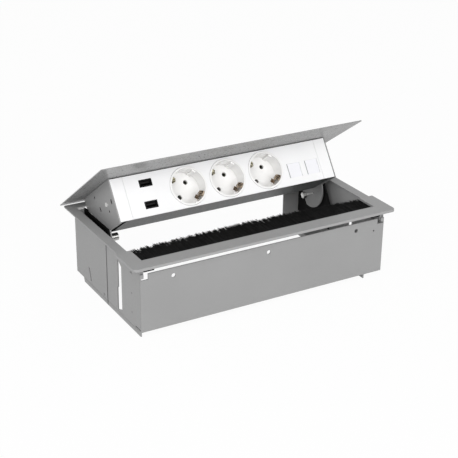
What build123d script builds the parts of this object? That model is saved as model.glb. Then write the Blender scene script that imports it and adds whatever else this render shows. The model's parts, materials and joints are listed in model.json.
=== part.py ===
from build123d import *
import math
import os

os.makedirs("parts", exist_ok=True)

# Millimetres. Z = 0 is the desk top that the flange lies on, +Z is up.
# X runs along the module, -Y is the user's side, X = 0 and Y = 0 are the middle of the frame.

# sockets and ports along the face: they set how long the module is
socket_in_r = 19.7
socket_wall = 2.0
socket_out_r = socket_in_r + socket_wall
socket_apart = 5.4
socket_pitch = 2 * socket_out_r + socket_apart
socket_x = 1.2
socket_deep = 17.5
socket_floor = 2.5
socket_lip = 0.4
pin_spacing = 19.0
pin_hole_r = 2.6
pin_turn = 37.0
usb_w = 15.3
usb_tall = 8.4
usb_apart = 26.35
usb_x = socket_x - socket_pitch - socket_out_r - usb_apart
port_gap = 0.3
data_w = 17.0
data_tall = 16.5
data_low_h = 8.5
data_wall = 1.6
data_apart = 3.5
module_w = data_w + 2 * data_wall
data_pitch = module_w + data_apart
data_from_socket = 14.3
data_x1 = socket_x + socket_pitch + socket_out_r + data_from_socket
data_margin = 2.0
shutter_t = 1.2
shutter_over = 0.8
shutter_slit = 0.9
slide_gap = 0.3
data_skin = 1.0
module_deep = 19.0

# tilting head, measured from the lid: u along the lid from its back edge, v down from its top face
face_u = 95.3
face_t = 2.0
face_margin = 1.85
face_h = 2 * (socket_out_r + face_margin)
face_shy = 0.6
head_v = face_h + 1.3
socket_h = face_h / 2 - 0.25
usb_low_h = 11.8
usb_high_h = face_h - 11.4
module_h = face_h - 13.1
module_mid = data_low_h - 2.6 + module_h / 2
end_strip_w = 14.6
seam_half = data_x1 + data_pitch + data_w / 2 + data_margin
head_half = seam_half + end_strip_w
end_t = 1.5
head_wall = 1.2
head_back_u = 19.6
head_knee_v = head_v - 30.0
head_floor_u = 43.0
tongue_u = 38.5
tongue_v = head_v - 3.4
tongue_r = 25.4
tongue_back_u = head_back_u

# box, as much wider than the head as the gaps at its ends
head_side_gap = 15.4
box_w = 2 * (head_half + head_side_gap)
box_d = 163.8
box_back_y = 78.5
box_front_y = box_back_y - box_d
sheet = 1.2
panel_top_z = -7.9
wall_bottom_z = -73.6
panel_bottom_z = wall_bottom_z + 0.4
foot_z = wall_bottom_z - 4.9
foot_back_y = box_back_y - 18.5
seat_gap = 0.3
seat_step = 0.3

# flange and front trim, both laid on the desk round the box
flange_lap = 7.0
flange_w = box_w + 2 * flange_lap
flange_ring = 11.0
flange_inner_w = flange_w - 2 * flange_ring
flange_back_y = box_back_y + 14.3
flange_inner_back_y = box_back_y + 4.0
flange_t = 1.5
trim_lap = 10.2
trim_w = box_w + 2 * trim_lap
trim_bar_d = 18.3
trim_ear_d = 26.3
trim_front_y = box_front_y - 7.5
trim_bar_y = trim_front_y + trim_bar_d
trim_back_y = trim_bar_y + trim_ear_d
trim_ear = 17.4
trim_inner_w = trim_w - 2 * trim_ear
trim_t = 2.8
trim_corner = 5.5

# lid and hinge: shut, the lid ends just behind the trim's ears
lid_shy = 0.4
lid_gap = 0.5
lid_w = trim_w - 2 * lid_shy
lid_t = 1.0
open_angle = 35.2
hinge_y = flange_back_y + 1.7
hinge_r = trim_t / 2
hinge_z = trim_t / 2
lid_back_y = hinge_y + 1.5
lid_d = lid_back_y - trim_back_y - lid_gap
knuckle_len = 24.0
knuckle_gap = 0.4
pin_r = 0.6
bore_r = 0.66

# brush
brush_reach = 42.5
brush_tip_y = trim_bar_y + brush_reach
brush_bow = 5.0
brush_half = trim_inner_w / 2 - 0.6
tuft_step = 6.0

c = math.cos(math.radians(open_angle))
s = math.sin(math.radians(open_angle))
lid_y = hinge_y + (lid_back_y - hinge_y) * c + (trim_t - hinge_z) * s
lid_z = hinge_z - (lid_back_y - hinge_y) * s + (trim_t - hinge_z) * c
lid_plane = Plane(origin=(0, lid_y, lid_z), x_dir=(1, 0, 0), z_dir=(0, s, c))
side_plane = Plane(origin=(0, lid_y, lid_z), x_dir=(0, -c, s), z_dir=(1, 0, 0))
face_y = lid_y - face_u * c - head_v * s
face_z = lid_z + face_u * s - head_v * c
face_plane = Plane(origin=(0, face_y, face_z), x_dir=(1, 0, 0), z_dir=(0, -c, s))

wall_x = box_w / 2
wall_in = wall_x - sheet
back_in_y = box_back_y - sheet
panel_in_y = box_front_y + sheet
wall_front_y = panel_in_y + seat_gap
head_out = head_half + end_t
hinge_inset = 70.2
hinge_x = wall_x - hinge_inset

flap_back_y = box_front_y + 31.3
flap_top_z = -16.0
rivet_r = 1.2
rivet_y = flap_back_y - 10.0
rivet_high_z = panel_top_z - 29.2
rivet_low_z = panel_bottom_z + 14.2

# left side wall with its back return, cleft for the end plate, and its lower strip
curve_y = box_back_y - 34.0
curve_z = wall_bottom_z + 17.8
slot_curve = ThreePointArc((curve_y, curve_z), (curve_y - 3.0, curve_z - 6.0), (curve_y - 4.8, curve_z - 12.6))
cable_slot_y = box_front_y + 45.2
slot_low_z = wall_bottom_z + 1.6
joint_y = -4.0
joint_top_z = panel_top_z - 1.0
joint_low_z = wall_bottom_z - 0.1
front_slot_w = 12.0
front_slot_tall = 1.6
front_slot_y = box_front_y + 7.8
return_lap = 12.2
return_in = head_half - return_lap
cleft_in = head_half - 1.0
cleft_out = head_out + 0.7
cleft_z = -21.5
with BuildPart() as side_wall_left:
    with BuildSketch(Plane.YZ.offset(-wall_x)):
        with BuildLine():
            Polyline(
                (wall_front_y, seat_step),
                (box_back_y, seat_step),
                (box_back_y, wall_bottom_z),
                (foot_back_y, wall_bottom_z),
                (foot_back_y - 2, foot_z),
                (wall_front_y, foot_z),
                close=True,
            )
        make_face()
    extrude(amount=sheet)
    with BuildSketch(Plane.XZ.offset(-box_back_y)):
        with BuildLine():
            Polyline(
                (-wall_x, seat_step),
                (-cleft_out, seat_step),
                (-cleft_out, cleft_z),
                (-cleft_in, cleft_z),
                (-cleft_in, seat_step),
                (-return_in, seat_step),
                (-return_in, wall_bottom_z),
                (-wall_x, wall_bottom_z),
                close=True,
            )
        make_face()
    extrude(amount=sheet)
    # see-through slot with a step half way down
    with BuildSketch(Plane.YZ.offset(-wall_x - 1)):
        with BuildLine():
            Polyline(
                (cable_slot_y, -17.9),
                (cable_slot_y + 8.6, -12.5),
                (cable_slot_y + 8.6, -44.8),
                (cable_slot_y + 10.5, -44.8),
                (cable_slot_y + 10.5, slot_low_z),
                (cable_slot_y, slot_low_z + 4.1),
                close=True,
            )
        make_face()
    extrude(amount=sheet + 2, mode=Mode.SUBTRACT)
    # upright joint line in the outer face
    with Locations((-wall_x, joint_y, (joint_top_z + joint_low_z) / 2)):
        Box(1.0, 2.4, joint_top_z - joint_low_z, mode=Mode.SUBTRACT)
    # curved slot, small hole and front slot
    with BuildSketch(Plane.YZ.offset(-wall_x - 1)):
        SlotArc(slot_curve, 3.0)
        with Locations((joint_y + 8.8, wall_bottom_z + 3.3)):
            Circle(1.5)
        with Locations((front_slot_y, wall_bottom_z + 2.0)):
            Rectangle(front_slot_w, front_slot_tall)
        with Locations((rivet_y, -13.6), (rivet_y, rivet_high_z), (rivet_y, rivet_low_z)):
            Circle(rivet_r + 0.1)
    extrude(amount=sheet + 2, mode=Mode.SUBTRACT)
    # fold line above the lower strip
    with Locations((-wall_x, (wall_front_y + foot_back_y) / 2, wall_bottom_z)):
        Box(0.5, foot_back_y - wall_front_y - 6, 0.6, mode=Mode.SUBTRACT)
side_wall_left.part.label = "side_wall_left"
export_step(side_wall_left.part, "parts/side_wall_left.step")

# right side wall, plain outside, with its see-through slot
right_slot_y = box_front_y + 57.5
right_slot_low_z = wall_bottom_z + 2.9
with BuildPart() as side_wall_right:
    with Locations((wall_x - sheet / 2, (wall_front_y + box_back_y) / 2, (wall_bottom_z + seat_step) / 2)):
        Box(sheet, box_back_y - wall_front_y, seat_step - wall_bottom_z)
    with BuildSketch(Plane.XZ.offset(-box_back_y)):
        with BuildLine():
            Polyline(
                (wall_x, seat_step),
                (cleft_out, seat_step),
                (cleft_out, cleft_z),
                (cleft_in, cleft_z),
                (cleft_in, seat_step),
                (return_in, seat_step),
                (return_in, wall_bottom_z),
                (wall_x, wall_bottom_z),
                close=True,
            )
        make_face()
    extrude(amount=sheet)
    with BuildSketch(Plane.YZ.offset(wall_x - sheet - 1)):
        with BuildLine():
            Polyline(
                (right_slot_y, -16.1),
                (right_slot_y + 5.8, -12.5),
                (right_slot_y + 5.8, right_slot_low_z),
                (right_slot_y, right_slot_low_z + 2.8),
                close=True,
            )
        make_face()
        with Locations((rivet_y, rivet_high_z), (rivet_y, rivet_low_z)):
            Circle(rivet_r + 0.1)
    extrude(amount=sheet + 2, mode=Mode.SUBTRACT)
side_wall_right.part.label = "side_wall_right"
export_step(side_wall_right.part, "parts/side_wall_right.step")

# front panel with a return along each side wall
fixing_r = 2.3
fixing_z = panel_top_z - 8.7
fixing_inset = 37.2
fixing_pitch = wall_x - fixing_inset
fixing_x = (-fixing_pitch, 0, fixing_pitch)
with BuildPart() as front_panel:
    with Locations((0, box_front_y + sheet / 2, (panel_top_z + panel_bottom_z) / 2)):
        Box(box_w, sheet, panel_top_z - panel_bottom_z)
    with Locations(
        (-wall_in + sheet / 2, (box_front_y + flap_back_y) / 2, (flap_top_z + panel_bottom_z) / 2),
        (wall_in - sheet / 2, (box_front_y + flap_back_y) / 2, (flap_top_z + panel_bottom_z) / 2),
    ):
        Box(sheet, flap_back_y - box_front_y, flap_top_z - panel_bottom_z)
    # corner notches at the top, the left one with a foot
    with Locations((6.2 - wall_x, box_front_y, panel_top_z - 2.2), (wall_x - 6.2, box_front_y, panel_top_z - 2.2)):
        Box(5.0, 4, 8.4, mode=Mode.SUBTRACT)
    with Locations((4.2 - wall_x, box_front_y, panel_top_z - 5.5), (wall_x - 4.2, box_front_y, panel_top_z - 5.5)):
        Box(6.4, 4, 1.8, mode=Mode.SUBTRACT)
    with BuildSketch(Plane.XZ.offset(-panel_in_y - 1)):
        with Locations([(x, fixing_z) for x in fixing_x]):
            Circle(fixing_r)
        with Locations((wall_x - 13.0, fixing_z - 5.0)):
            Circle(1.1)
    extrude(amount=sheet + 2, mode=Mode.SUBTRACT)
    with BuildSketch(Plane.YZ.offset(-wall_in - 1)):
        with Locations((rivet_y, rivet_high_z), (rivet_y, rivet_low_z)):
            Circle(rivet_r + 0.1)
    extrude(amount=2 * wall_in + 2, mode=Mode.SUBTRACT)
front_panel.part.label = "front_panel"
export_step(front_panel.part, "parts/front_panel.step")

# flush rivets that hold the front panel's returns to the side walls
with BuildPart() as rivets:
    for side in (-1, 1):
        for rivet_z in (rivet_high_z, rivet_low_z):
            with Locations((side * wall_in, rivet_y, rivet_z)):
                Cylinder(rivet_r, 2 * sheet, rotation=(0, 90, 0))
rivets.part.label = "rivets"
export_step(rivets.part, "parts/rivets.step")

# right lower rail: a shelf off the side wall with a lip that hangs below the panel
rail_inset = 22.7
rail_x = wall_x - rail_inset
with BuildPart() as lower_rail_right:
    with BuildSketch(Plane.XZ.offset(-foot_back_y)):
        with BuildLine():
            Polyline(
                (wall_in, wall_bottom_z),
                (wall_in, wall_bottom_z + sheet),
                (rail_x - sheet / 2, wall_bottom_z + sheet),
                (rail_x - sheet / 2, foot_z),
                (rail_x + sheet / 2, foot_z),
                (rail_x + sheet / 2, wall_bottom_z),
                close=True,
            )
        make_face()
    extrude(amount=foot_back_y - panel_in_y)
    # clear of the front panel's return
    with Locations((wall_in - sheet / 2, (panel_in_y + flap_back_y) / 2, wall_bottom_z)):
        Box(2 * sheet, flap_back_y - panel_in_y + 2 * seat_gap, 3 * sheet, mode=Mode.SUBTRACT)
lower_rail_right.part.label = "lower_rail_right"
export_step(lower_rail_right.part, "parts/lower_rail_right.step")

# black pads inside the side walls, beside the tongues
screw_head_t = 1.0
pad_in = head_out + screw_head_t + 0.4
pad_top_z = -0.5
pad_bottom_z = -54.5
pad_step_z = -24.0
pad_long = 75.3
pad_front_y = back_in_y - pad_long
for pad_side, pad_name in ((-1, "side_pad_left"), (1, "side_pad_right")):
    pad_start_x = pad_in if pad_side > 0 else -wall_in
    with BuildPart() as side_pad:
        with BuildSketch(Plane.YZ.offset(pad_start_x)):
            with BuildLine():
                Polyline(
                    (pad_front_y + 14.0, pad_top_z),
                    (back_in_y - seat_gap, pad_top_z),
                    (back_in_y - seat_gap, pad_step_z),
                    (back_in_y - 9.8, pad_step_z),
                    (back_in_y - 9.8, pad_bottom_z),
                    (pad_front_y, pad_bottom_z),
                    (pad_front_y, pad_step_z),
                    close=True,
                )
            make_face()
        extrude(amount=wall_in - pad_in)
    side_pad.part.label = pad_name
    export_step(side_pad.part, "parts/" + pad_name + ".step")

# hinge knuckles: two to a hinge, the outer one belongs to the flange
knuckle_step = knuckle_len + knuckle_gap
fixed_x = []
moving_x = []
for hinge_side in (-1, 1):
    moving_x.append(hinge_side * (hinge_x - knuckle_step / 2))
    fixed_x.append(hinge_side * (hinge_x + knuckle_step / 2))
fixed_spots = [(x, hinge_y, hinge_z) for x in fixed_x]

# U-shaped flange that lies on the desk round the sides and the back
flange_front_y = trim_back_y + seat_gap
with BuildPart() as support_flange:
    with BuildSketch(Plane.XY):
        with Locations((0, (flange_front_y + flange_back_y) / 2)):
            Rectangle(flange_w, flange_back_y - flange_front_y)
        with Locations((0, (flange_front_y + flange_inner_back_y) / 2)):
            Rectangle(flange_inner_w, flange_inner_back_y - flange_front_y, mode=Mode.SUBTRACT)
    extrude(amount=flange_t)
    fillet(support_flange.edges().filter_by(Axis.Z).group_by(Axis.Y)[-1], radius=2.0)
    strap_d = hinge_y - flange_back_y + 0.4
    with Locations([(x, flange_back_y - 0.4 + strap_d / 2, 0.5) for x in fixed_x]):
        Box(knuckle_len, strap_d, 1.0)
    with Locations(fixed_spots):
        Cylinder(hinge_r, knuckle_len, rotation=(0, 90, 0))
    with Locations(fixed_spots):
        Cylinder(pin_r, knuckle_len + 0.1, rotation=(0, 90, 0), mode=Mode.SUBTRACT)
    # shallow step underneath that the side walls butt against, so that only the rim lies on the desk
    with Locations((0, (flange_front_y + box_back_y + seat_gap) / 2, seat_step / 2)):
        Box(2 * (wall_x + seat_gap), box_back_y + seat_gap - flange_front_y, seat_step, mode=Mode.SUBTRACT)
support_flange.part.label = "support_flange"
export_step(support_flange.part, "parts/support_flange.step")

# hinge pins, a press fit in the fixed knuckles
with BuildPart() as hinge_pins:
    with Locations((-hinge_x, hinge_y, hinge_z), (hinge_x, hinge_y, hinge_z)):
        Cylinder(pin_r, 2 * knuckle_len + knuckle_gap, rotation=(0, 90, 0))
hinge_pins.part.label = "hinge_pins"
export_step(hinge_pins.part, "parts/hinge_pins.step")

# short rest pins on the flange's inner edge at the back corners
rest_pin_r = 1.0
rest_pin_y = flange_inner_back_y - 1.7
rest_pin_z = 0.5
rest_pin_len = 9.3
rest_pin_mid = flange_inner_w / 2 - rest_pin_len / 2
with BuildPart() as rest_pins:
    with Locations((-rest_pin_mid, rest_pin_y, rest_pin_z), (rest_pin_mid, rest_pin_y, rest_pin_z)):
        Cylinder(rest_pin_r, rest_pin_len, rotation=(0, 90, 0))
rest_pins.part.label = "rest_pins"
export_step(rest_pins.part, "parts/rest_pins.step")

# front trim: one bar and two side ears
with BuildPart() as front_trim:
    with BuildSketch(Plane.XY):
        with Locations((0, (trim_front_y + trim_back_y) / 2)):
            Rectangle(trim_w, trim_back_y - trim_front_y)
        with Locations((0, (trim_bar_y + trim_back_y) / 2)):
            Rectangle(trim_inner_w, trim_back_y - trim_bar_y, mode=Mode.SUBTRACT)
    extrude(amount=trim_t)
    fillet(front_trim.edges().filter_by(Axis.Z).group_by(Axis.Y)[0], radius=trim_corner)
    chamfer(front_trim.faces().sort_by(Axis.Z)[-1].edges(), length=0.4)
    # shallow step underneath, so that only the rim lies on the desk
    with Locations((0, (box_front_y - seat_gap + trim_back_y) / 2, seat_step / 2)):
        Box(2 * (wall_x + seat_gap), trim_back_y - box_front_y + seat_gap, seat_step, mode=Mode.SUBTRACT)
front_trim.part.label = "front_trim"
export_step(front_trim.part, "parts/front_trim.step")

# black clips that hold the trim and the brush holder at the two ends
clip_tall = 6.6
clip_long = 11.6
clip_deep = 4.4
clip_x = wall_x - 10.6
clip_y = box_front_y + 3.7
clip_z = seat_step - clip_tall / 2
with BuildPart() as trim_clips:
    with Locations((-clip_x, clip_y, clip_z), (clip_x, clip_y, clip_z)):
        Box(clip_long, clip_deep, clip_tall)
trim_clips.part.label = "trim_clips"
export_step(trim_clips.part, "parts/trim_clips.step")

# upright tabs of the trim at the front corners
tab_tall = 11.5
tab_wide = 3.0
tab_thick = 1.4
tab_x = wall_x - 3.0
tab_y = box_front_y + 2.9
tab_z = seat_step - tab_tall / 2
with BuildPart() as trim_tabs:
    with Locations((-tab_x, tab_y, tab_z), (tab_x, tab_y, tab_z)):
        Box(tab_wide, tab_thick, tab_tall)
trim_tabs.part.label = "trim_tabs"
export_step(trim_tabs.part, "parts/trim_tabs.step")

# brush holder under the bar, and the bristles in it
holder_deep = 4.6
holder_front_y = trim_bar_y - holder_deep
holder_tall = 5.1
root_z = -2.2
root_tall = 2.6
root_deep = 2.9
with BuildPart() as brush_holder:
    with Locations((0, (holder_front_y + trim_bar_y) / 2, seat_step - holder_tall / 2)):
        Box(2 * brush_half, trim_bar_y - holder_front_y, holder_tall)
    with Locations((0, trim_bar_y - 1.4, root_z)):
        Box(2 * brush_half + 1, root_deep, root_tall, mode=Mode.SUBTRACT)
brush_holder.part.label = "brush_holder"
export_step(brush_holder.part, "parts/brush_holder.step")

tuft_count = int(2 * brush_half / tuft_step)
layer_t = 0.9
root_long = 26.8
root_back_y = trim_bar_y + root_long
with BuildPart() as brush_bristles:
    with Locations((0, (trim_bar_y - 2.8 + root_back_y) / 2, root_z)):
        Box(2 * brush_half, root_back_y - trim_bar_y + 2.8, root_tall)
    for layer in range(3):
        layer_z = root_z - root_tall / 2 + layer * 0.85
        points = [(-brush_half, trim_bar_y + 6)]
        for k in range(tuft_count):
            x0 = -brush_half + k * 2 * brush_half / tuft_count
            bow = brush_bow * (x0 / brush_half) ** 2
            wave = math.sin(2.3 * k + 1.7 * layer) + math.sin(5.1 * k + 0.9 * layer)
            tip = brush_tip_y - 2.5 - bow + 0.9 * wave
            points.append((x0, tip - 3.5 - 0.9 * math.cos(3.3 * k)))
            points.append((x0 + 0.45 * tuft_step, tip))
        points.append((brush_half, brush_tip_y - brush_bow - 7.5))
        points.append((brush_half, trim_bar_y + 6))
        with BuildSketch(Plane.XY.offset(layer_z)):
            with BuildLine():
                Polyline(*points, close=True)
            make_face()
        extrude(amount=layer_t)
brush_bristles.part.label = "brush_bristles"
export_step(brush_bristles.part, "parts/brush_bristles.step")

# lid with its knuckles
with BuildPart() as lid:
    with BuildSketch(lid_plane):
        with Locations((0, -lid_d / 2)):
            RectangleRounded(lid_w, lid_d, 1.5)
    extrude(amount=-lid_t)
    relief = hinge_r + (lid_back_y - hinge_y) + 0.5
    with Locations(lid_plane):
        with Locations([(x, -relief / 2, -lid_t / 2) for x in fixed_x]):
            Box(knuckle_len + 2 * knuckle_gap, relief, 2 * lid_t, mode=Mode.SUBTRACT)
        with Locations([(x, hinge_y - lid_back_y, hinge_z - trim_t) for x in moving_x]):
            Cylinder(hinge_r, knuckle_len, rotation=(0, 90, 0))
        with Locations([(x, hinge_y - lid_back_y, hinge_z - trim_t) for x in moving_x]):
            Cylinder(bore_r, knuckle_len + 0.1, rotation=(0, 90, 0), mode=Mode.SUBTRACT)
lid.part.label = "lid"
export_step(lid.part, "parts/lid.step")

# folded housing under the lid, open to the front
inner_u = face_u - face_t
with BuildPart() as head_housing:
    with BuildSketch(side_plane.offset(-head_half)):
        with BuildLine():
            Polyline(
                (inner_u, lid_t),
                (head_back_u, lid_t),
                (head_back_u, head_knee_v),
                (head_floor_u, head_v),
                (inner_u, head_v),
                (inner_u, head_v - head_wall),
                (head_floor_u + 0.5, head_v - head_wall),
                (head_back_u + head_wall, head_knee_v - 0.4),
                (head_back_u + head_wall, lid_t + head_wall),
                (inner_u, lid_t + head_wall),
                close=True,
            )
        make_face()
    extrude(amount=2 * head_half)
head_housing.part.label = "head_housing"
export_step(head_housing.part, "parts/head_housing.step")

# end plates, each with a round tongue that hangs below the head
skin_t = 0.4
plate_holes = [(45.9, 8.2), (76.4, 31.8)]
plate_slots = [(88.7, 23.9), (53.3, 23.7)]
for end_side, end_name in ((-1, "end_plate_left"), (1, "end_plate_right")):
    start_x = head_half if end_side > 0 else -head_out
    with BuildPart() as end_plate:
        with BuildSketch(side_plane.offset(start_x)):
            with BuildLine():
                Polyline(
                    (face_u, lid_t + 0.3),
                    (face_u, head_v + 1.2),
                    (tongue_u + 8, head_v + 1.2),
                    (tongue_back_u, tongue_v),
                    (tongue_back_u, 24.0),
                    (15.2, 18.0),
                    (15.2, 3.0),
                    (17.0, lid_t + 0.3),
                    close=True,
                )
            make_face()
            with Locations((tongue_u, tongue_v)):
                Circle(tongue_r)
            with Locations((tongue_back_u - 20, tongue_v)):
                Rectangle(40, 2 * tongue_r + 2, mode=Mode.SUBTRACT)
            with BuildLine():
                Polyline(
                    (tongue_back_u, 24.0),
                    (15.2, 18.0),
                    (15.2, 3.0),
                    (17.0, lid_t + 0.3),
                    (30.0, lid_t + 0.3),
                    (30.0, 30.0),
                    (tongue_back_u, 30.0),
                    close=True,
                )
            make_face()
            with Locations(plate_holes):
                Circle(1.4, mode=Mode.SUBTRACT)
            with Locations(plate_slots):
                Rectangle(3.0, 5.2, mode=Mode.SUBTRACT)
        extrude(amount=end_t)
        # thinned from the inside round the holes and slots
        with BuildSketch(side_plane.offset(start_x if end_side > 0 else -head_half)):
            with Locations(plate_holes + plate_slots):
                Rectangle(7.4, 8.4)
        extrude(amount=end_side * (end_t - skin_t), mode=Mode.SUBTRACT)
    end_plate.part.label = end_name
    export_step(end_plate.part, "parts/" + end_name + ".step")

# screws in the end plates
screw_head_r = 2.3
screw_u = 74.4
screw_v = head_v - 24.9
small_head_r = 1.7
small_u = 24.3
small_v = head_v - 25.8
driver_slot_w = 0.6
with BuildPart() as end_screws:
    for end_side in (-1, 1):
        for spot_u, spot_v, head_r in ((screw_u, screw_v, screw_head_r), (small_u, small_v, small_head_r)):
            with Locations(side_plane):
                with Locations((spot_u, spot_v, end_side * (head_out + screw_head_t / 2))):
                    Cylinder(head_r, screw_head_t)
                with Locations((spot_u, spot_v, end_side * (head_out + 0.8 * screw_head_t))):
                    Box(driver_slot_w, 1.5 * head_r, 0.6 * screw_head_t, mode=Mode.SUBTRACT)
end_screws.part.label = "end_screws"
export_step(end_screws.part, "parts/end_screws.step")

# stay fittings inside the end plates: a thick sleeve on the left, a pin and nut on the right
stay_u = 39.4
stay_v = head_v + 5.2
stay_len = 14.8
stay_in = head_half - stay_len
stay_pin_r = 0.9
with BuildPart() as stay_sleeve_left:
    with BuildSketch(side_plane.offset(-head_half)):
        with Locations((stay_u, stay_v)):
            Circle(4.4)
    extrude(amount=head_half - stay_in)
stay_sleeve_left.part.label = "stay_sleeve_left"
export_step(stay_sleeve_left.part, "parts/stay_sleeve_left.step")

with BuildPart() as stay_pin_right:
    with Locations(side_plane):
        with Locations((stay_u, stay_v, (stay_in + head_half) / 2)):
            Cylinder(stay_pin_r, head_half - stay_in)
        with Locations((stay_u, stay_v, stay_in + 0.3)):
            Cylinder(2.4, 0.6)
stay_pin_right.part.label = "stay_pin_right"
export_step(stay_pin_right.part, "parts/stay_pin_right.step")

nut_len = 4.2
with BuildPart() as stay_nut_right:
    with BuildSketch(side_plane.offset(stay_in + 0.6)):
        with Locations((stay_u, stay_v)):
            RegularPolygon(3.8, 6, rotation=30)
            Circle(stay_pin_r, mode=Mode.SUBTRACT)
    extrude(amount=nut_len)
stay_nut_right.part.label = "stay_nut_right"
export_step(stay_nut_right.part, "parts/stay_nut_right.step")

# face plate with its openings
socket_centres = [(socket_x + k * socket_pitch, socket_h) for k in (-1, 0, 1)]
usb_centres = [(usb_x, usb_low_h), (usb_x, usb_high_h)]
data_centres = [(data_x1 + k * data_pitch, data_low_h + data_tall / 2) for k in (0, 1)]
with BuildPart() as face_plate:
    with BuildSketch(face_plane.offset(-face_t)):
        with Locations((0, (face_h - face_shy) / 2)):
            Rectangle(2 * seam_half, face_h - face_shy)
        with Locations(socket_centres):
            Circle(socket_out_r + port_gap, mode=Mode.SUBTRACT)
        with Locations(usb_centres):
            Rectangle(usb_w, usb_tall, mode=Mode.SUBTRACT)
        with Locations(data_centres):
            Rectangle(data_w, data_tall, mode=Mode.SUBTRACT)
    extrude(amount=face_t)
    # thinned from behind round the data windows, where the shutters slide
    with Locations(face_plane):
        with Locations([(x, module_mid, -(face_t + data_skin) / 2) for x, h in data_centres]):
            Box(module_w, module_h, face_t - data_skin, mode=Mode.SUBTRACT)
face_plate.part.label = "face_plate"
export_step(face_plate.part, "parts/face_plate.step")

# plain end strips beside the face plate
strip_w = head_half - seam_half - port_gap
with BuildPart() as face_end_strips:
    with Locations(face_plane):
        with Locations(
            (-head_half + strip_w / 2, (face_h - face_shy) / 2, -face_t / 2),
            (head_half - strip_w / 2, (face_h - face_shy) / 2, -face_t / 2),
        ):
            Box(strip_w, face_h - face_shy, face_t)
face_end_strips.part.label = "face_end_strips"
export_step(face_end_strips.part, "parts/face_end_strips.step")

# sockets: round cup with two guide ribs, two pin holes and two clip slots
socket_back = socket_deep + socket_floor
clip_r_in = socket_in_r - 3.5
clip_w = 6.4
turn = Rot(0, 0, 90 - pin_turn)
for index, (sx, sh) in enumerate(socket_centres):
    cup_plane = Plane(face_plane * Location((sx, sh, 0)) * turn)
    with BuildPart() as socket_cup:
        with BuildSketch(cup_plane.offset(socket_lip)):
            Circle(socket_out_r)
        extrude(amount=-(socket_lip + socket_back))
        with BuildSketch(cup_plane.offset(socket_lip)):
            Circle(socket_in_r)
        extrude(amount=-(socket_lip + socket_deep), mode=Mode.SUBTRACT)
        with Locations(cup_plane):
            with Locations((socket_in_r - 0.6, 0, -socket_deep / 2 - 0.8), (0.6 - socket_in_r, 0, -socket_deep / 2 - 0.8)):
                Box(2.4, 4.4, socket_deep - 1.6)
            with Locations((0, socket_in_r - 0.7, -socket_deep / 2 - 1.5), (0, 0.7 - socket_in_r, -socket_deep / 2 - 1.5)):
                Box(clip_w + 1.0, 4.0, socket_deep - 3.0, mode=Mode.SUBTRACT)
            with Locations((pin_spacing / 2, 0, -socket_back), (-pin_spacing / 2, 0, -socket_back)):
                Cylinder(pin_hole_r, 3 * socket_floor, mode=Mode.SUBTRACT)
    socket_cup.part.label = "socket_cup_" + str(index + 1)
    export_step(socket_cup.part, "parts/socket_cup_" + str(index + 1) + ".step")

# sprung earth clips, one pair to a socket
for clip_side, clip_name in ((1, "earth_clips_upper"), (-1, "earth_clips_lower")):
    with BuildPart() as earth_clips:
        for sx, sh in socket_centres:
            cup_plane = Plane(face_plane * Location((sx, sh, 0)) * turn)
            spring_plane = Plane(
                origin=cup_plane.from_local_coords((-clip_w / 2, 0, 0)),
                x_dir=clip_side * cup_plane.y_dir,
                z_dir=cup_plane.x_dir,
            )
            up = 1 if spring_plane.y_dir.dot(cup_plane.z_dir) > 0 else -1
            with BuildSketch(spring_plane):
                with BuildLine():
                    Polyline(
                        (socket_in_r + 0.8, -3.6 * up),
                        (socket_in_r + 0.1, -3.6 * up),
                        (clip_r_in, -7.0 * up),
                        (clip_r_in, -11.0 * up),
                        (socket_in_r - 0.6, -socket_deep * up),
                        (socket_in_r + 0.8, -socket_deep * up),
                        (socket_in_r + 0.8, (0.8 - socket_deep) * up),
                        (socket_in_r - 0.2, (0.8 - socket_deep) * up),
                        (clip_r_in + 0.8, -11.0 * up),
                        (clip_r_in + 0.8, -7.2 * up),
                        (socket_in_r + 0.4, -4.4 * up),
                        (socket_in_r + 0.8, -4.4 * up),
                        close=True,
                    )
                make_face()
            extrude(amount=clip_w)
    earth_clips.part.label = clip_name
    export_step(earth_clips.part, "parts/" + clip_name + ".step")

# brass pin contacts behind the floors of the cups
contact_len = 15.0
contact_out = 7.0
contact_bore = 4.9
with BuildPart() as pin_contacts:
    for sx, sh in socket_centres:
        cup_plane = Plane(face_plane * Location((sx, sh, 0)) * turn)
        with BuildSketch(cup_plane.offset(-socket_back)):
            with Locations((pin_spacing / 2, 0), (-pin_spacing / 2, 0)):
                Rectangle(contact_out, contact_out)
                Rectangle(contact_bore, contact_bore, mode=Mode.SUBTRACT)
        extrude(amount=-contact_len)
pin_contacts.part.label = "pin_contacts"
export_step(pin_contacts.part, "parts/pin_contacts.step")

# charging ports: black block with a tongue in the cavity
usb_deep = 18.0
for port_h, port_name in ((usb_high_h, "usb_port_upper"), (usb_low_h, "usb_port_lower")):
    with BuildPart() as usb_port:
        with Locations(face_plane):
            with Locations((usb_x, port_h, -face_t / 2 - 0.2)):
                Box(usb_w - 2 * port_gap, usb_tall - 2 * port_gap, face_t)
            with Locations((usb_x, port_h, -face_t - port_gap - usb_deep / 2)):
                Box(usb_w + 2.0, usb_tall + 2.0, usb_deep)
            with Locations((usb_x, port_h, -face_t / 2 - 1.2)):
                Box(usb_w - 2 * port_gap, usb_tall - 2 * port_gap, face_t)
            with Locations((usb_x, port_h, -6.0)):
                Box(12.5, 5.1, 12.0, mode=Mode.SUBTRACT)
            with Locations((usb_x, port_h + 0.9, -7.0)):
                Box(11.1, 1.9, 10.0)
    usb_port.part.label = port_name
    export_step(usb_port.part, "parts/" + port_name + ".step")

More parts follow.
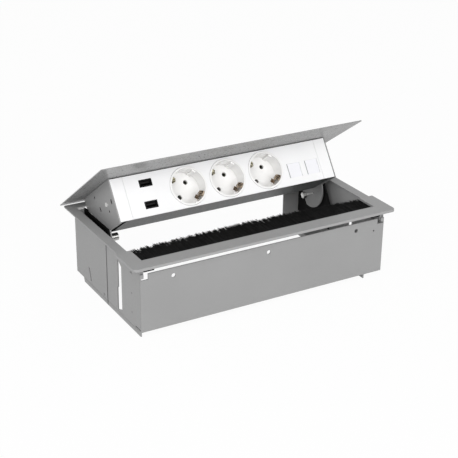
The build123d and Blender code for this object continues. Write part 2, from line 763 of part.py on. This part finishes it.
# data outlets: a block with a jack cavity behind each window
channel_deep = shutter_t + 2 * slide_gap
jack_w = 11.9
jack_h = 7.4
jack_deep = 15.0
jack_mid_h = data_low_h + 6.6
latch_w = 6.2
latch_h = 3.0
pin_bed_h = 2.4
pin_bed_len = 7.0
for index, (dx, dh) in enumerate(data_centres):
    with BuildPart() as data_outlet:
        with Locations(face_plane):
            with Locations((dx, module_mid, -data_skin - module_deep / 2)):
                Box(module_w, module_h, module_deep)
            # channel that the shutter slides in, open to the face plate's back
            with Locations((dx, module_mid + 1.1, -data_skin - channel_deep / 2)):
                Box(data_w + 2 * shutter_over + 2 * slide_gap, module_h, channel_deep, mode=Mode.SUBTRACT)
            with Locations((dx, jack_mid_h, -face_t - 8.0)):
                Box(jack_w, jack_h, jack_deep, mode=Mode.SUBTRACT)
            with Locations((dx, jack_mid_h - jack_h / 2 - 1.2, -face_t - 8.0)):
                Box(latch_w, latch_h, jack_deep, mode=Mode.SUBTRACT)
            with Locations([(dx + (k - 3.5) * 1.02, jack_mid_h + 2.8, -face_t - 9.0) for k in range(8)]):
                Box(0.5, pin_bed_h, pin_bed_len)
    data_outlet.part.label = "data_outlet_" + str(index + 1)
    export_step(data_outlet.part, "parts/data_outlet_" + str(index + 1) + ".step")
    with BuildPart() as data_shutter:
        with Locations(face_plane):
            with Locations((dx + (shutter_over + shutter_slit) / 2, dh, -data_skin - slide_gap - shutter_t / 2)):
                Box(data_w + shutter_over - shutter_slit, data_tall + 2 * shutter_over, shutter_t)
    data_shutter.part.label = "data_shutter_" + str(index + 1)
    export_step(data_shutter.part, "parts/data_shutter_" + str(index + 1) + ".step")
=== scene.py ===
import json
import math
import random

import bmesh
import bpy
from mathutils import Matrix, Vector


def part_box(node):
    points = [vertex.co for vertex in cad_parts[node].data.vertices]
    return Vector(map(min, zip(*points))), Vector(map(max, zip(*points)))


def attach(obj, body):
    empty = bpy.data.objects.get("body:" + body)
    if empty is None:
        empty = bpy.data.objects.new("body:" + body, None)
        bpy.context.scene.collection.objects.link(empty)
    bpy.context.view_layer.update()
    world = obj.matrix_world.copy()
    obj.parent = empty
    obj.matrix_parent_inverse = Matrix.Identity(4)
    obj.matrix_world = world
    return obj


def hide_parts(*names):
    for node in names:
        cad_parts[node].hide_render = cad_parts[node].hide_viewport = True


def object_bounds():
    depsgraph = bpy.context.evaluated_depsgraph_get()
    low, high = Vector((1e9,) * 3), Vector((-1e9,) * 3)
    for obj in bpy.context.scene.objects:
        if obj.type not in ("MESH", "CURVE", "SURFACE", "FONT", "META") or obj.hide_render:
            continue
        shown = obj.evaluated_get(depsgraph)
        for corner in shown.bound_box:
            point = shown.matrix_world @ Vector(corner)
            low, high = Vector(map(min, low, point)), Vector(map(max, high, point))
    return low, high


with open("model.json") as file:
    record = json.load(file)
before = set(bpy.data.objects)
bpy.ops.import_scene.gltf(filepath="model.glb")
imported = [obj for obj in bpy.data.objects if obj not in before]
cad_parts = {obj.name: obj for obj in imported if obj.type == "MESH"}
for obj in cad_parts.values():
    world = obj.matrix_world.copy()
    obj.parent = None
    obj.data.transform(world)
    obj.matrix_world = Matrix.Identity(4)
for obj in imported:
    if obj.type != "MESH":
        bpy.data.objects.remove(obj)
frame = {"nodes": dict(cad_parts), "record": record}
CAD_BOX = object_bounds()
NODES = frame["nodes"]
MM = 0.001


# Shader node helpers

def grey(value):
    """An opaque grey."""
    return (value, value, value, 1.0)


def scaled(color, factor):
    """An opaque colour, lighter or darker by a factor."""
    return (color[0] * factor, color[1] * factor, color[2] * factor, 1.0)


def math_node(tree, operation, first, second=None):
    """A math node whose second value, if any, is a number or another node's output."""
    node = tree.nodes.new("ShaderNodeMath")
    node.operation = operation
    tree.links.new(first, node.inputs[0])
    if isinstance(second, float):
        node.inputs[1].default_value = second
    elif second is not None:
        tree.links.new(second, node.inputs[1])
    return node.outputs[0]


def new_material(name, color, roughness, metallic=0.0, specular=0.5, coat=0.0, coat_rough=0.3):
    """A material with a Principled shader whose constants sit on its own sockets."""
    mat = bpy.data.materials.new(name)
    mat.use_nodes = True
    shader = mat.node_tree.nodes["Principled BSDF"]
    shader.inputs["Base Color"].default_value = (*color, 1.0)
    shader.inputs["Roughness"].default_value = roughness
    shader.inputs["Metallic"].default_value = metallic
    shader.inputs["Specular IOR Level"].default_value = specular
    shader.inputs["Coat Weight"].default_value = coat
    shader.inputs["Coat Roughness"].default_value = coat_rough
    return mat, shader


def add_noise(mat, scale, detail, stretch=(1.0, 1.0, 1.0)):
    """A noise in object space, in metres, stretched along the axes."""
    nodes = mat.node_tree.nodes
    links = mat.node_tree.links
    coord = nodes.new("ShaderNodeTexCoord")
    mapping = nodes.new("ShaderNodeMapping")
    mapping.inputs["Scale"].default_value = stretch
    noise = nodes.new("ShaderNodeTexNoise")
    noise.inputs["Scale"].default_value = scale
    noise.inputs["Detail"].default_value = detail
    links.new(coord.outputs["Object"], mapping.inputs["Vector"])
    links.new(mapping.outputs["Vector"], noise.inputs["Vector"])
    return noise.outputs["Fac"]


def ramp(mat, source, low, high, start=0.3, end=0.7):
    """Maps a value to a colour between low and high."""
    node = mat.node_tree.nodes.new("ShaderNodeValToRGB")
    first, second = node.color_ramp.elements
    first.position = start
    first.color = low
    second.position = end
    second.color = high
    mat.node_tree.links.new(source, node.inputs["Fac"])
    return node.outputs["Color"]


def vary_color(mat, shader, source, color, darker, lighter):
    """Lets the base colour drift between two factors of itself."""
    shades = ramp(mat, source, scaled(color, darker), scaled(color, lighter))
    mat.node_tree.links.new(shades, shader.inputs["Base Color"])


def vary_roughness(mat, shader, source, roughness, below, above):
    """Lets the roughness drift a little below and above its middle value."""
    shades = ramp(mat, source, grey(roughness - below), grey(roughness + above))
    mat.node_tree.links.new(shades, shader.inputs["Roughness"])


def add_bump(mat, shader, heights, strength, distance):
    """Chains a bump for each height, and feeds the last one to the shader's normal."""
    nodes = mat.node_tree.nodes
    links = mat.node_tree.links
    last = None
    for height in heights:
        bump = nodes.new("ShaderNodeBump")
        bump.inputs["Strength"].default_value = strength
        bump.inputs["Distance"].default_value = distance
        links.new(height, bump.inputs["Height"])
        if last is not None:
            links.new(last, bump.inputs["Normal"])
        last = bump.outputs["Normal"]
    links.new(last, shader.inputs["Normal"])


def add_band(mat, axis, middle, half_width, shade):
    """Paints shade into a band of the object across one axis: a darker colour and no sheen there."""
    tree = mat.node_tree
    shader = tree.nodes["Principled BSDF"]
    coord = tree.nodes.new("ShaderNodeTexCoord")
    split = tree.nodes.new("ShaderNodeSeparateXYZ")
    tree.links.new(coord.outputs["Object"], split.inputs["Vector"])
    offset = math_node(tree, "SUBTRACT", split.outputs[axis], middle)
    distance = math_node(tree, "ABSOLUTE", offset)
    inside = math_node(tree, "LESS_THAN", distance, half_width)
    mix = tree.nodes.new("ShaderNodeVectorMath")
    mix.operation = "MULTIPLY"
    unshaded = shader.inputs["Base Color"].links[0].from_socket
    tree.links.new(unshaded, mix.inputs[0])
    tree.links.new(ramp(mat, inside, grey(1.0), grey(shade), 0.0, 1.0), mix.inputs[1])
    tree.links.new(mix.outputs["Vector"], shader.inputs["Base Color"])
    gloss = shader.inputs["Specular IOR Level"]
    tree.links.new(ramp(mat, inside, grey(gloss.default_value), grey(0.0), 0.0, 1.0), gloss)


# Finishes: noise scales in waves per metre, bump distances in metres

def painted(name, color, roughness=0.42, peel=0.10, specular=0.45):
    """Fine powder coat: faint colour drift, tiny grain and a soft orange peel."""
    mat, shader = new_material(name, color, roughness, specular=specular)
    drift = add_noise(mat, scale=14.0, detail=4.0)
    vary_color(mat, shader, drift, color, darker=0.97, lighter=1.03)
    grain = add_noise(mat, scale=2600.0, detail=2.0)
    coarse = add_noise(mat, scale=420.0, detail=3.0)
    vary_roughness(mat, shader, coarse, roughness, below=0.05, above=0.06)
    add_bump(mat, shader, (coarse, grain), strength=peel, distance=0.00008)
    return mat


def moulded(name, color, roughness, coat=0.0, grain=900.0, strength=0.05, specular=0.5):
    """Moulded plastic with a faint tone drift and a fine surface grain."""
    mat, shader = new_material(name, color, roughness, specular=specular, coat=coat, coat_rough=0.12)
    drift = add_noise(mat, scale=26.0, detail=3.0)
    vary_color(mat, shader, drift, color, darker=0.985, lighter=1.01)
    fine = add_noise(mat, scale=grain, detail=2.0)
    vary_roughness(mat, shader, fine, roughness, below=0.04, above=0.05)
    add_bump(mat, shader, (fine,), strength=strength, distance=0.00005)
    return mat


def plated(name, color, roughness, stretch, metallic=1.0):
    """Bright metal with turning or drawing lines along one axis."""
    mat, shader = new_material(name, color, roughness, metallic=metallic)
    lines = add_noise(mat, scale=900.0, detail=3.0, stretch=stretch)
    vary_color(mat, shader, lines, color, darker=0.86, lighter=1.05)
    vary_roughness(mat, shader, lines, roughness, below=0.06, above=0.08)
    add_bump(mat, shader, (lines,), strength=0.15, distance=0.00006)
    return mat


def mottled(name, dark, light, roughness):
    """Bent spring metal with painted reflection: light and dark patches in the base colour."""
    mat, shader = new_material(name, light, roughness, metallic=1.0)
    patches = add_noise(mat, scale=620.0, detail=1.0)
    colors = ramp(mat, patches, (*dark, 1.0), (*light, 1.0), start=0.40, end=0.60)
    mat.node_tree.links.new(colors, shader.inputs["Base Color"])
    return mat


PAINT = (0.29, 0.29, 0.29)
LINES_ACROSS_X = (6.0, 0.4, 0.4)
LINES_ALONG_X = (0.4, 6.0, 6.0)
NO_LINES = (1.0, 1.0, 1.0)
MATERIALS = {
    "painted_steel": painted("paint_grey", PAINT),
    "lid_steel": painted("paint_lid", (0.27, 0.27, 0.27), roughness=0.3, peel=0.02, specular=0.35),
    "head_dark": painted("paint_dark", (0.060, 0.064, 0.064), peel=0.06, specular=0.15),
    "face_white": moulded("white_front", (0.89, 0.89, 0.895), 0.34),
    "socket_white": moulded("white_cups", (0.90, 0.895, 0.885), 0.16, coat=0.4, strength=0.03),
    "shutter_white": moulded("white_shutter", (0.86, 0.86, 0.89), 0.4),
    "port_black": moulded("port_black", (0.004, 0.004, 0.004), 0.6, specular=0.2),
    "clip_black": moulded("clip_black", (0.004, 0.004, 0.004), 0.7, specular=0.08),
    "holder_black": moulded("holder_black", (0.03, 0.03, 0.03), 0.45),
    "brush_black": moulded("bristle_black", (0.007, 0.007, 0.007), 0.7, grain=1500.0, specular=0.15),
    "bright_steel": plated("bright_steel", (0.80, 0.80, 0.79), 0.36, LINES_ACROSS_X, metallic=0.45),
    "screw_steel": plated("screw_steel", (0.30, 0.30, 0.30), 0.34, NO_LINES),
    "sleeve_steel": plated("sleeve_steel", (0.40, 0.40, 0.39), 0.26, LINES_ALONG_X),
    "rivet_steel": painted("rivet_steel", (0.20, 0.20, 0.20), roughness=0.5),
    "wall_steel": painted("paint_wall", PAINT),
    "trim_steel": painted("paint_trim", (0.325, 0.325, 0.325), specular=0.22),
    # lighter copy of the grey paint on the right wall: painted light on its shaded inner face
    "inner_wall_painted_light": painted("paint_right_wall_painted_light", (0.33, 0.33, 0.33)),
    # darker copy of the grey paint on the right end plate: painted shade
    "inner_plate_painted_shade": painted("paint_right_plate_painted_shade", (0.22, 0.22, 0.22)),
    "housing_dark": painted("paint_housing", (0.056, 0.060, 0.060), peel=0.06, specular=0.15),
    # the earth springs are all one brass: both carry painted reflection, and the lower ones' darker, redder
    # copy is painted shade
    "clip_brass": mottled("clip_brass", (0.09, 0.08, 0.05), (0.62, 0.58, 0.42), 0.32),
    "clip_copper": mottled("clip_copper", (0.06, 0.045, 0.03), (0.62, 0.50, 0.38), 0.34),
}


# Bands of painted shade, in metres

# painted shade in the joint line of the left wall
JOINT_SHADE_Y = -0.004
JOINT_SHADE_HALF_W = 0.0013
JOINT_SHADE = 0.70
# painted shade of the open seam under the head's left end
SEAM_SHADE_INSET = 0.0065
SEAM_SHADE_HALF_W = 0.0020
SEAM_SHADE = 0.02
# painted shade on the left edge of each shutter
SLIT_SHADE_INSET = 0.0004
SLIT_SHADE_HALF_W = 0.0005
SLIT_SHADE = 0.42


def left_end(node):
    """The X of a CAD node's left end."""
    low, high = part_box(node)
    return low[0]


# painted shade in the joint line of the left wall
add_band(MATERIALS["wall_steel"], "Y", JOINT_SHADE_Y, JOINT_SHADE_HALF_W, JOINT_SHADE)
# painted shade of the open seam under the head's left end
add_band(MATERIALS["housing_dark"], "X", left_end("head_housing") + SEAM_SHADE_INSET, SEAM_SHADE_HALF_W, SEAM_SHADE)
# painted shade on the left edge of each shutter, where a slit reads dark
for shutter in ("data_shutter_1", "data_shutter_2"):
    add_band(MATERIALS["shutter_white"], "X", left_end(shutter) + SLIT_SHADE_INSET, SLIT_SHADE_HALF_W, SLIT_SHADE)


# Which node gets which material: its slot in the record, apart from these

OWN_FINISH_AND_PAINTED_LIGHT = {
    # the jacks behind the shutters are made black as painted shade, so that the slit beside a shutter reads
    # dark
    "data_outlet_1": "port_black",
    "data_outlet_2": "port_black",
    "stay_sleeve_left": "sleeve_steel",
    "stay_nut_right": "sleeve_steel",
    "rivets": "rivet_steel",
    "side_wall_left": "wall_steel",
    # the right wall takes a lighter copy of the grey paint, as painted light
    "side_wall_right": "inner_wall_painted_light",
    # the right end plate takes a darker copy of the grey paint, as painted shade
    "end_plate_right": "inner_plate_painted_shade",
    "head_housing": "housing_dark",
    "support_flange": "trim_steel",
    "front_trim": "trim_steel",
}
SLOT_OF = {entry["node"]: entry["material_slot"] for entry in frame["record"]["subparts"]}
SLOT_OF.update(OWN_FINISH_AND_PAINTED_LIGHT)
for node_name, node in NODES.items():
    node.data.materials.clear()
    node.data.materials.append(MATERIALS[SLOT_OF[node_name]])


# Mesh helpers

def skin(bm, rings):
    """Joins rings of as many vertices into a closed solid."""
    for first, second in zip(rings, rings[1:]):
        count = len(first)
        for k in range(count):
            following = (k + 1) % count
            bm.faces.new((first[k], first[following], second[following], second[k]))
    bm.faces.new(rings[0])
    bm.faces.new(rings[-1])


def finish_piece(bm, name, material, body, node):
    """Turns the mesh into a piece that rides a body and stands for a CAD node."""
    bmesh.ops.recalc_face_normals(bm, faces=bm.faces)
    mesh = bpy.data.meshes.new(name)
    bm.to_mesh(mesh)
    bm.free()
    piece = bpy.data.objects.new(name, mesh)
    bpy.context.collection.objects.link(piece)
    mesh.materials.append(MATERIALS[material])
    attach(piece, body)
    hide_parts(node)


# Brush hairs, in metres

BRUSH_SEED = 7
TUFTS = 260
HAIRS_PER_TUFT = 24
# the outer tufts stop short of the strip's ends
END_MARGIN = 0.0006
ROOT_INSET = 0.0004
TIP_INSET = 0.0006
# the hairs get shorter towards both ends, and the tufts reach unevenly and lean
LEFT_BOW = 0.005
RIGHT_BOW = 0.007
TUFT_REACH = (-0.0038, 0.0006)
TUFT_LEAN = 0.0014
TUFT_HALF_W = 0.00055
HAIR_SHORTFALL = 0.0028
HAIR_LEAN = 0.0011
HAIR_LIFT = (-0.0010, 0.0006)
HAIR_RADIUS = (0.00016, 0.00024)
# how far the brush may spread to the right of its strip, and how near hairs come to its faces
RIGHT_SPREAD = 0.0040
SIDE_GAP = 0.0002
TOP_GAP = 0.0001
ROOT_TOP_GAP = 0.0002
ROOT_LOW_GAP = 0.0004
# a hair's rings: share of its length, share of its radius
HAIR_RINGS = ((0.0, 1.0), (0.55, 1.0), (1.0, 0.45))
HAIR_CORNERS = 3


def add_hair(bm, root, tip, radius, turn):
    """One hair, bent towards its tip and turned about its length."""
    rings = []
    for along, share in HAIR_RINGS:
        bend = along * along
        x = root[0] + (tip[0] - root[0]) * bend
        y = root[1] + (tip[1] - root[1]) * along
        z = root[2] + (tip[2] - root[2]) * bend
        size = radius * share
        ring = []
        for corner in range(HAIR_CORNERS):
            angle = math.tau * corner / HAIR_CORNERS + turn
            side = Vector((size * math.cos(angle), 0, size * math.sin(angle)))
            ring.append(bm.verts.new(Vector((x, y, z)) + side))
        rings.append(ring)
    skin(bm, rings)


def make_bristles():
    """Loose nylon hairs in tufts, rooted under the front bar and splayed at the tips."""
    low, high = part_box("brush_bristles")
    rng = random.Random(BRUSH_SEED)
    bm = bmesh.new()
    half_w = (high[0] - low[0]) / 2
    tuft_span = high[0] - low[0] - 2 * END_MARGIN + RIGHT_SPREAD
    left_limit = low[0] + SIDE_GAP
    right_limit = high[0] + RIGHT_SPREAD - SIDE_GAP
    for tuft in range(TUFTS):
        tuft_x = low[0] + END_MARGIN + tuft_span * (tuft + 0.5) / TUFTS
        across = (tuft_x - low[0] - half_w) / half_w
        bow = (LEFT_BOW if across < 0 else RIGHT_BOW) * across * across
        reach = rng.uniform(*TUFT_REACH) - bow
        lean = rng.uniform(-TUFT_LEAN, TUFT_LEAN)
        for hair in range(HAIRS_PER_TUFT):
            root_x = tuft_x + rng.uniform(-TUFT_HALF_W, TUFT_HALF_W)
            root_z = rng.uniform(low[2] + ROOT_LOW_GAP, high[2] - ROOT_TOP_GAP)
            tip_y = high[1] - TIP_INSET + reach - abs(rng.gauss(0, HAIR_SHORTFALL))
            tip_x = root_x + lean + rng.uniform(-HAIR_LEAN, HAIR_LEAN)
            tip_x = min(max(tip_x, left_limit), right_limit)
            tip_z = root_z + rng.uniform(*HAIR_LIFT)
            tip_z = min(max(tip_z, low[2] + SIDE_GAP), high[2] - TOP_GAP)
            radius = rng.uniform(*HAIR_RADIUS)
            root = (root_x, low[1] + ROOT_INSET, root_z)
            add_hair(bm, root, (tip_x, tip_y, tip_z), radius, turn=hair)
    finish_piece(bm, "bristles", "brush_black", "desk_box", "brush_bristles")


make_bristles()


# Earth springs

# the pin holes of the sockets stand turned by this angle from the head's long axis
PIN_TURN = math.radians(53.0)
LOWER_CLIP_W = 6.4 * MM
UPPER_CLIP_W = 4.6 * MM
CLIP_T = 0.5 * MM
LEG_W = 1.9 * MM
TONGUE_HALF_W = LEG_W / 3
# paths in mm: distance from the cup's axis, and height over the front, so that depths are negative
# a leg runs from its root at the floor to its hook at the rim
LEG_PATH = (
    (19.2, -17.2), (18.7, -12.5), (15.6, -8.2), (15.0, -6.0), (15.8, -4.0), (18.4, -2.4), (19.6, -2.3),
)
# the narrow tongue between the legs stands further into the cup
TONGUE_PATH = ((19.0, -16.5), (17.8, -12.0), (14.6, -7.8), (14.1, -5.6), (15.2, -4.2))
STRAP_PATH = ((15.5, -4.6), (18.4, -2.4), (19.6, -2.3))
ROOT_PATH = ((19.3, -14.5), (19.2, -17.2), (15.6, -17.3))


def socket_frames():
    """Origin, pin axis, clip axis and outward normal of each socket, from the record's mounts."""
    frames = []
    for mount in frame["record"]["mounts"]:
        if not mount["name"].startswith("socket_"):
            continue
        normal = Vector(mount["axis"]).normalized()
        sideways = Vector((1.0, 0.0, 0.0))
        upward = normal.cross(sideways)
        across = sideways * math.cos(PIN_TURN) + upward * math.sin(PIN_TURN)
        outward = upward * math.cos(PIN_TURN) - sideways * math.sin(PIN_TURN)
        frames.append((Vector(mount["pos_m"]), across, outward, normal))
    return frames


def ribbon(bm, socket, side, path, across_0, across_1):
    """A bent strip along a path, between two places across it."""
    origin, across, outward, normal = socket
    points = [Vector((r * MM, z * MM)) for r, z in path]
    rings = []
    for k, point in enumerate(points):
        before = points[max(k - 1, 0)]
        after = points[min(k + 1, len(points) - 1)]
        run = (after - before).normalized()
        thick = Vector((-run.y, run.x)) * CLIP_T / 2
        ring = []
        for offset, width in ((thick, across_0), (thick, across_1), (-thick, across_1), (-thick, across_0)):
            place = point + offset
            corner = origin + across * width + outward * side * place.x + normal * place.y
            ring.append(bm.verts.new(corner))
        rings.append(ring)
    skin(bm, rings)


def make_earth_springs(name, side, width, material, node):
    """Bent spring with two legs, a tongue between them and a foot on the cup's floor."""
    bm = bmesh.new()
    edge = width / 2
    for socket in socket_frames():
        for start in (-edge, edge - LEG_W):
            ribbon(bm, socket, side, LEG_PATH, start, start + LEG_W)
        ribbon(bm, socket, side, TONGUE_PATH, -TONGUE_HALF_W, TONGUE_HALF_W)
        ribbon(bm, socket, side, STRAP_PATH, -edge + LEG_W, edge - LEG_W)
        ribbon(bm, socket, side, ROOT_PATH, -edge + LEG_W / 2, edge - LEG_W / 2)
    finish_piece(bm, name, material, "lid_and_head", node)


make_earth_springs("earth_springs_upper", 1, UPPER_CLIP_W, "clip_brass", "earth_clips_upper")
# the lower springs take the darker, redder copy of the brass, as painted shade
make_earth_springs("earth_springs_lower", -1, LOWER_CLIP_W, "clip_copper", "earth_clips_lower")


# Black plates that stand for the deep shade in the gaps beside the tongues

PLATE_T = 1.6 * MM
# above the step the front edge slopes back, and below it the foot is narrower
PLATE_SLOPE = 14.0 * MM
PLATE_STEP_Z = -24.0 * MM
FOOT_INSET = 9.5 * MM
# raised back corner of the left plate
LIP_W = 7.0 * MM
LIP_H = 1.8 * MM
LIP_SLOPE = 1.0 * MM


def plate_outline(low, high, back_corner):
    """A plate's outline in Y and Z, with the given points at its upper back corner."""
    foot_y = high[1] - FOOT_INSET
    return (
        (low[1] + PLATE_SLOPE, high[2]),
        *back_corner,
        (high[1], PLATE_STEP_Z),
        (foot_y, PLATE_STEP_Z),
        (foot_y, low[2]),
        (low[1], low[2]),
        (low[1], PLATE_STEP_Z),
    )


def extrude_outline(bm, x0, x1, points):
    """A plate across X whose outline is given by (y, z) points."""
    skin(bm, [[bm.verts.new((x, y, z)) for y, z in points] for x in (x0, x1)])


def make_right_shade_plate():
    """Thin black plate beside the right tongue, with a leg along the back return; its black is painted
    shade in the gap.
    """
    low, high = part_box("side_pad_right")
    back = high[1]
    top = high[2]
    leg = ((back - PLATE_T, top), (back, top), (back, PLATE_STEP_Z), (back - PLATE_T, PLATE_STEP_Z))
    bm = bmesh.new()
    extrude_outline(bm, low[0], low[0] + PLATE_T, plate_outline(low, high, ((back, top),)))
    extrude_outline(bm, low[0] + PLATE_T, high[0], leg)
    finish_piece(bm, "shade_plate_right", "clip_black", "desk_box", "side_pad_right")


def make_left_shade_plate():
    """Thin black plate beside the left tongue, a little taller at its back corner; its black is painted
    shade in the gap.
    """
    low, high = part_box("side_pad_left")
    back = high[1]
    top = high[2]
    lip = ((back - LIP_W - LIP_SLOPE, top), (back - LIP_W, top + LIP_H), (back, top + LIP_H))
    bm = bmesh.new()
    extrude_outline(bm, high[0] - PLATE_T, high[0], plate_outline(low, high, lip))
    finish_piece(bm, "shade_plate_left", "clip_black", "desk_box", "side_pad_left")


make_right_shade_plate()
make_left_shade_plate()


# Floor and backdrop

FLOOR_Z = CAD_BOX[0][2]
FLOOR_REACH = 6.0
PAPER_GREY = 0.86
# share of plain white that the camera sees on the paper
PAPER_GLOW = 0.95
FILL_STRENGTH = 0.59


def seen_rays(tree):
    """1 for camera, glossy and transmission rays."""
    path = tree.nodes.new("ShaderNodeLightPath")
    total = path.outputs["Is Camera Ray"]
    for other in ("Is Glossy Ray", "Is Transmission Ray"):
        total = math_node(tree, "MAXIMUM", total, path.outputs[other])
    return total


def mixed(tree, share, first, second):
    """Mixes two shaders."""
    mix = tree.nodes.new("ShaderNodeMixShader")
    tree.links.new(share, mix.inputs["Fac"])
    tree.links.new(first.outputs[0], mix.inputs[1])
    tree.links.new(second.outputs[0], mix.inputs[2])
    return mix.outputs[0]


def paper():
    """White paper: it keeps the shadow, and reads as white where nothing shades it."""
    mat = bpy.data.materials.new("floor_white")
    mat.use_nodes = True
    tree = mat.node_tree
    tree.nodes.clear()
    out = tree.nodes.new("ShaderNodeOutputMaterial")
    diffuse = tree.nodes.new("ShaderNodeBsdfDiffuse")
    diffuse.inputs["Color"].default_value = grey(PAPER_GREY)
    glow = tree.nodes.new("ShaderNodeEmission")
    glow.inputs["Strength"].default_value = 1.0
    share = math_node(tree, "MULTIPLY", seen_rays(tree), PAPER_GLOW)
    tree.links.new(mixed(tree, share, diffuse, glow), out.inputs["Surface"])
    return mat


def make_floor():
    """A wide sheet of paper under the part."""
    mesh = bpy.data.meshes.new("floor")
    corners = [(x * FLOOR_REACH, y * FLOOR_REACH, FLOOR_Z) for x, y in ((-1, -1), (1, -1), (1, 1), (-1, 1))]
    mesh.from_pydata(corners, [], [(0, 1, 2, 3)])
    mesh.materials.append(paper())
    floor = bpy.data.objects.new("floor", mesh)
    bpy.context.collection.objects.link(floor)


def make_world():
    """An even white fill that lights the part a little and is seen as plain white."""
    world = bpy.data.worlds.new("studio")
    bpy.context.scene.world = world
    world.use_nodes = True
    tree = world.node_tree
    tree.nodes.clear()
    out = tree.nodes.new("ShaderNodeOutputWorld")
    fill = tree.nodes.new("ShaderNodeBackground")
    fill.inputs["Color"].default_value = grey(1.0)
    fill.inputs["Strength"].default_value = FILL_STRENGTH
    white = tree.nodes.new("ShaderNodeBackground")
    white.inputs["Color"].default_value = grey(1.0)
    white.inputs["Strength"].default_value = 1.0
    tree.links.new(mixed(tree, seen_rays(tree), fill, white), out.inputs["Surface"])


make_floor()
make_world()


# Lights, in metres and watts

LIT_SPOT = Vector((0.0, 0.0, -0.02))


def area_light(name, place, size, power):
    """A rectangular light that faces the part."""
    data = bpy.data.lights.new(name, "AREA")
    data.shape = "RECTANGLE"
    data.size = size[0]
    data.size_y = size[1]
    data.energy = power
    lamp = bpy.data.objects.new(name, data)
    lamp.location = place
    lamp.rotation_euler = (LIT_SPOT - Vector(place)).to_track_quat("-Z", "Y").to_euler()
    bpy.context.collection.objects.link(lamp)


area_light("key", place=(-1.1, -1.30, 1.0), size=(1.2, 1.0), power=18.8)
area_light("front_fill", place=(0.5, -2.1, 0.7), size=(1.2, 1.0), power=13.5)


# Camera, as solved from the edges of the box in the photo: metres and radians

IMAGE_PX = 458
SENSOR_MM = 36.0
FOCAL_PX = 1161.83
YAW = 0.528658
PITCH = 0.425420
ROLL = 0.012376
DISTANCE = 1.29482
TARGET = Vector((0.000891, 0.0, -0.023886))
NEAREST = 0.05
FARTHEST = 50.0


def make_camera():
    """The camera looks at its target from the solved angles and distance."""
    forward = Vector((math.sin(YAW) * math.cos(PITCH), math.cos(YAW) * math.cos(PITCH), -math.sin(PITCH)))
    right = Vector((math.cos(YAW), -math.sin(YAW), 0.0))
    up = right.cross(forward)
    right_rolled = right * math.cos(ROLL) + up * math.sin(ROLL)
    up_rolled = up * math.cos(ROLL) - right * math.sin(ROLL)
    data = bpy.data.cameras.new("camera")
    data.sensor_width = SENSOR_MM
    data.lens = FOCAL_PX * SENSOR_MM / IMAGE_PX
    data.clip_start = NEAREST
    data.clip_end = FARTHEST
    camera = bpy.data.objects.new("camera", data)
    bpy.context.collection.objects.link(camera)
    placed = Matrix((right_rolled, up_rolled, -forward)).transposed().to_4x4()
    placed.translation = TARGET - forward * DISTANCE
    camera.matrix_world = placed
    bpy.context.scene.camera = camera


make_camera()

bpy.context.scene.view_settings.view_transform = "Standard"
